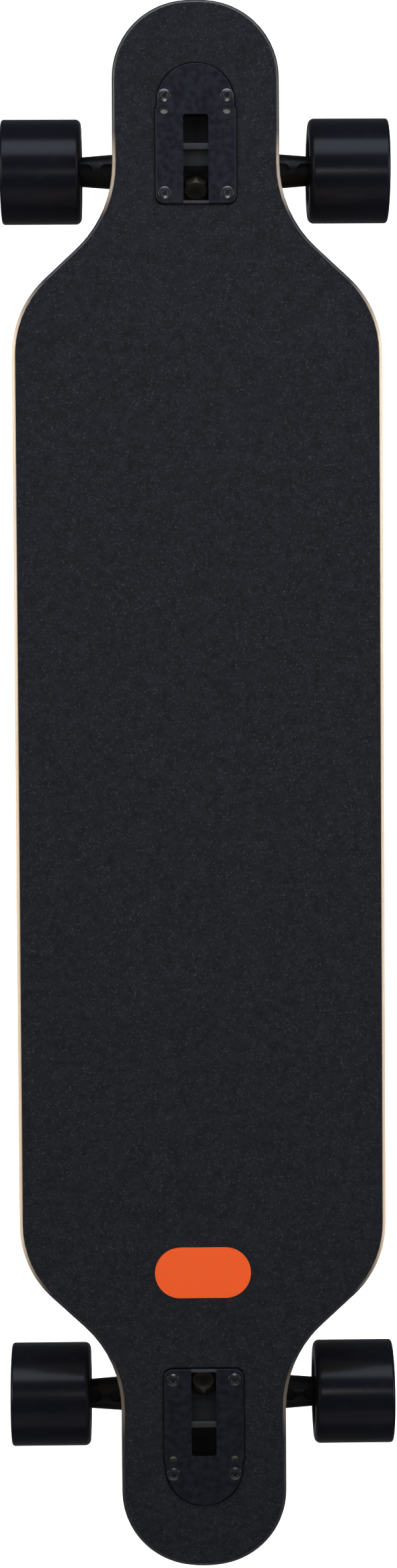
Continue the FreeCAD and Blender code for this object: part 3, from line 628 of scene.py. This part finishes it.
def joined(parts):
    """One set of points and faces from several."""
    offsets = np.cumsum([0] + [len(points) for points, quads in parts[:-1]])
    points = np.concatenate([points for points, quads in parts])
    return points, np.concatenate([quads + start for (made, quads), start in zip(parts, offsets)])


ACROSS, UP = np.eye(3)[[0, 2]]
print("surface helpers ready")

# %% [markdown]
# ## Wheels
# A longboard wheel is cast round a core and its tread is turned true. A lathe curve fits it: a flat
# tread, a tight lip outside and a rounder one inside, sides that dip to the core, and a small step where
# the core begins. The outline is closed, a ring section, so the wheel has no poles and no open rim.

# %% Wheels
wheel_radius, wheel_width, wheel_offset = 35 * MM, 54 * MM, 0.7 * MM
outer_lip, inner_lip, side_lip = 2.0 * MM, 4.0 * MM, 1.8 * MM
side_radius, core_radius, core_half, core_lip = 23.5 * MM, 19 * MM, 15 * MM, 1.0 * MM
step_round, seat_round = 0.4 * MM, 0.05 * MM
wheel_segments, wheel_corner_steps = 192, 12


def wheel_outline():
    """Closed ring section, distance outwards along the axle by radius."""
    low = wheel_offset - wheel_width / 2
    high = wheel_offset + wheel_width / 2
    core_rim = core_radius + core_lip
    corners = [(low, wheel_radius), (high, wheel_radius), (high, side_radius), (core_half, core_rim),
               (core_half, core_radius), (-core_half, core_radius), (-core_half, core_rim),
               (low, side_radius)]
    radii = [inner_lip, outer_lip, side_lip, step_round, seat_round, seat_round, step_round, side_lip]
    return rounded_loop(corners, radii, wheel_corner_steps)


outline = wheel_outline()
wheel_quads = ring_quads(len(outline), wheel_segments, True)
for end in ("front", "rear"):
    for side_name, side in (("right", 1), ("left", -1)):
        wheel = "%s_%s" % (end, side_name)
        centre = joints[wheel + "_wheel_spin"]["pos_m"]
        points = turned_points(outline, centre, side * ACROSS, UP, wheel_segments)
        tyre = make_piece(wheel + "_tyre_cast", points, wheel_quads,
                          finishes["wheel_urethane"], wheel + "_wheel", "wheel_urethane")
        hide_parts(wheel + "_tyre")
        even_shading = tyre.modifiers.new("even_shading", "WEIGHTED_NORMAL")
        even_shading.keep_sharp = True
print("4 wheels of", len(wheel_quads), "faces")

# %% [markdown]
# ## Bushings
# The bushings are the springs of the truck: urethane squeezed on the kingpin, one end held by the
# baseplate or the nut, the other by the hanger. A rigid ring would cut into the hanger when it leans;
# here each one is a turned barrel round the kingpin, built at rest and held to no body.

# %% Bushings
ring_distance = 25.5 * MM
bushing_hole = 4.86
bushing_segments, bushing_corner_steps = 96, 9


def kingpin_frame(end):
    """Centre of the hanger ring, which lies on the steering axis, and the kingpin's direction to the
    board."""
    joint = joints[end + "_steer"]
    axis = np.array(joint["axis"], float)
    upward = np.cross(ACROSS, axis)
    upward *= np.sign(upward[2])
    return np.array(joint["pos_m"]) + ring_distance * axis, upward


board_barrel = rounded_loop(
    np.array([(3, bushing_hole), (3, 12.0), (11, 12.75), (19, 12.0), (19, bushing_hole)]) * MM,
    np.array([0.1, 1.0, 6.0, 1.0, 0.1]) * MM, bushing_corner_steps)
road_cone = rounded_loop(
    np.array([(-3, bushing_hole), (-3, 12.0), (-6, 12.0), (-17, 9.2), (-17, bushing_hole)]) * MM,
    np.array([0.1, 0.8, 2.0, 1.0, 0.1]) * MM, bushing_corner_steps)
for end in ("front", "rear"):
    centre, upward = kingpin_frame(end)
    for part, outline, held, free in (("board", board_barrel, 18, 4), ("road", road_cone, -16, -4)):
        points = turned_points(outline, centre, upward, ACROSS, bushing_segments)
        quads = ring_quads(len(outline), bushing_segments, True)
        bushing = make_piece("%s_bushing_%s_cast" % (end, part), points, quads,
                             finishes["bushing_urethane"], None, "bushing_urethane")
        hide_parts("%s_bushing_%s" % (end, part))
        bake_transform(bushing)

# %% [markdown]
# ## Threads and lock rings
# Axles, kingpins and screws end in a few turns of thread below their nuts. A spiral of loose triangles
# is easy to get wrong; here one small trapezoid is carried along a helix, its height fading at both ends
# so the ridge grows out of the rod. The nylon rings of the lock nuts are plain turned rings.

# %% Threads and lock rings
thread_steps, thread_fade, thread_root = 40, 0.9, 0.25 * MM
thread_flank, thread_crest = 0.46, 0.08
ring_segments, ring_corner_steps, ring_sunk = 64, 5, 0.5 * MM
ring_rounds = np.array([0.02, 0.1, 0.1, 0.02]) * MM


def thread_points(foot, axis, across, radius, pitch, length, height):
    """Ridge wound round a rod: foot + (pitch * t / turn + a(s)) * axis + (radius + h(s) * fade(t)) *
    spoke(t), where s goes round a trapezoid whose base lies inside the rod."""
    turns = length / pitch
    angle = np.linspace(0, 2 * math.pi * turns, int(thread_steps * turns) + 1)
    fade = np.clip(np.minimum(angle, angle[-1] - angle) / thread_fade, 0.0, 1.0)
    along = np.array([-thread_flank, -thread_crest, thread_crest, thread_flank]) * pitch
    rise = np.array([-thread_root, height, height, -thread_root])
    side = np.cross(axis, across)
    spoke = np.cos(angle)[:, None] * across + np.sin(angle)[:, None] * side
    travel = (angle / (2 * math.pi) * pitch)[:, None] + along
    out = radius - thread_root + (rise + thread_root) * fade[:, None]
    points = np.array(foot) + travel[..., None] * axis + out[..., None] * spoke[:, None]
    caps = np.array([[0, 1, 2, 3], np.arange(4)[::-1] + 4 * (len(angle) - 1)])
    quads = ring_quads(len(angle), 4, False)
    if volume_of(points.reshape(-1, 3) - np.array(foot), quads) < 0:
        caps = caps[:, ::-1]
        quads = quads[:, ::-1]
    return points.reshape(-1, 3), np.concatenate([quads, caps])


def lock_ring(foot, axis, across, inner, outer, proud):
    """Nylon ring let into the end of a nut, standing a little proud."""
    corners = [(-ring_sunk, inner), (proud, inner), (proud, outer), (-ring_sunk, outer)]
    outline = rounded_loop(corners, ring_rounds, ring_corner_steps)
    points = turned_points(outline, foot, axis, across, ring_segments)
    return points, ring_quads(len(outline), ring_segments, True)


def screw_places(forward, height):
    """Centres of a truck's four mounting screws, at one height."""
    return [np.array([side * screw_half_x, forward * truck_y + row * screw_half_y, height])
            for side in (1, -1) for row in (1, -1)]


# Rods: radius, pitch of the thread, its height, and the bare end of the rod
axle_radius, axle_pitch, axle_ridge, axle_bare = 4 * MM, 1.0 * MM, 0.22 * MM, 0.7 * MM
pin_radius, pin_pitch, pin_ridge, pin_bare = 4.76 * MM, 1.06 * MM, 0.22 * MM, 0.9 * MM
screw_radius, screw_pitch, screw_ridge, screw_bare = 2.5 * MM, 0.8 * MM, 0.18 * MM, 0.5 * MM
# Lock rings: inner radius, outer radius, and how far they stand proud
axle_ring = (4.25 * MM, 5.1 * MM, 0.12 * MM)
pin_ring = (5.0 * MM, 5.9 * MM, 0.12 * MM)
screw_ring = (2.7 * MM, 3.5 * MM, 0.1 * MM)
screw_half_x, screw_half_y = 41.275 / 2 * MM, 63.5 / 2 * MM
nut_reach, kingpin_reach = 27 * MM, 29.5 * MM
nylon = finishes["cage_nylon"]
for end, forward in (("front", 1), ("rear", -1)):
    truck = end + "_truck"
    axle_y, axle_z = joints[end + "_right_wheel_spin"]["pos_m"][1:]
    axle_tip, nut_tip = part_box(end + "_axle")[1].x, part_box(end + "_axle_nuts")[1].x
    thread_length = axle_tip - nut_tip - axle_bare
    threads, rings = [], []
    for side in (1, -1):
        foot = np.array([side * nut_tip, axle_y, axle_z])
        outwards = side * ACROSS
        threads.append(thread_points(foot, outwards, UP, axle_radius, axle_pitch, thread_length, axle_ridge))
        rings.append(lock_ring(foot, outwards, UP, *axle_ring))
    make_piece(end + "_axle_threads", *joined(threads), finishes["axle_steel"], truck, "axle_steel")
    make_piece(end + "_axle_nut_rings", *joined(rings), nylon, truck, "cage_nylon")

    centre, upward = kingpin_frame(end)
    foot = centre - nut_reach * upward
    thread_length = kingpin_reach - nut_reach - pin_bare
    thread = thread_points(foot, -upward, ACROSS, pin_radius, pin_pitch, thread_length, pin_ridge)
    make_piece(end + "_kingpin_threads", *thread, finishes["yellow_zinc"], "board", "yellow_zinc")
    ring = lock_ring(foot, -upward, ACROSS, *pin_ring)
    make_piece(end + "_kingpin_nut_ring", *ring, nylon, "board", "cage_nylon")

    screw_tip, nut_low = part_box(end + "_mount_screws")[0].z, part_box(end + "_mount_nuts")[0].z
    thread_length = nut_low - screw_tip - screw_bare
    threads, rings = [], []
    for foot in screw_places(forward, nut_low):
        thread = thread_points(foot, -UP, ACROSS, screw_radius, screw_pitch, thread_length, screw_ridge)
        threads.append(thread)
        rings.append(lock_ring(foot, -UP, ACROSS, *screw_ring))
    make_piece(end + "_screw_threads", *joined(threads), finishes["zinc_steel"], "board", "zinc_steel")
    make_piece(end + "_screw_nut_rings", *joined(rings), nylon, "board", "cage_nylon")
print("threads and lock rings on both trucks")

# %% [markdown]
# ## Screw heads
# A flat screw head seen from above is a grey coin. The real heads are a little domed, so each throws
# back the lamp beside the camera as one small glint. The dome is a turned ring again, with
# height = rise * (1 - (r / R)^2), eased at the inner rim, and the CAD's hexagon socket is left open in
# the middle.

# %% Screw heads
dome_inner, dome_outer, dome_rise, dome_foot = 1.95 * MM, 4.25 * MM, 0.5 * MM, 0.3 * MM
dome_reach = dome_outer * 1.01
rim_drop, rim_width = 0.14 * MM, 0.18 * MM
dome_segments, dome_steps = 48, 22
radius = np.linspace(dome_outer, dome_inner, dome_steps)
rise = dome_rise * (1 - (radius / dome_reach) ** 2) - rim_drop * np.exp((dome_inner - radius) / rim_width)
dome = np.concatenate([np.stack([rise, radius], -1), [(-dome_foot, dome_inner), (-dome_foot, dome_outer)]])
dome_quads = ring_quads(len(dome), dome_segments, True)
for end, forward in (("front", 1), ("rear", -1)):
    head_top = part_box(end + "_mount_screws")[1].z
    domes = [(turned_points(dome, place, UP, ACROSS, dome_segments), dome_quads)
             for place in screw_places(forward, head_top)]
    make_piece(end + "_screw_domes", *joined(domes), black_oxide, "board", "zinc_steel")
print("8 domed screw heads, %.2f mm high" % (dome_rise / MM))

# %% [markdown]
# The CAD box is written out as plain numbers.

# %% Finish
print("cad box", [round(v, 4) for v in (*cad_low, *cad_high)])
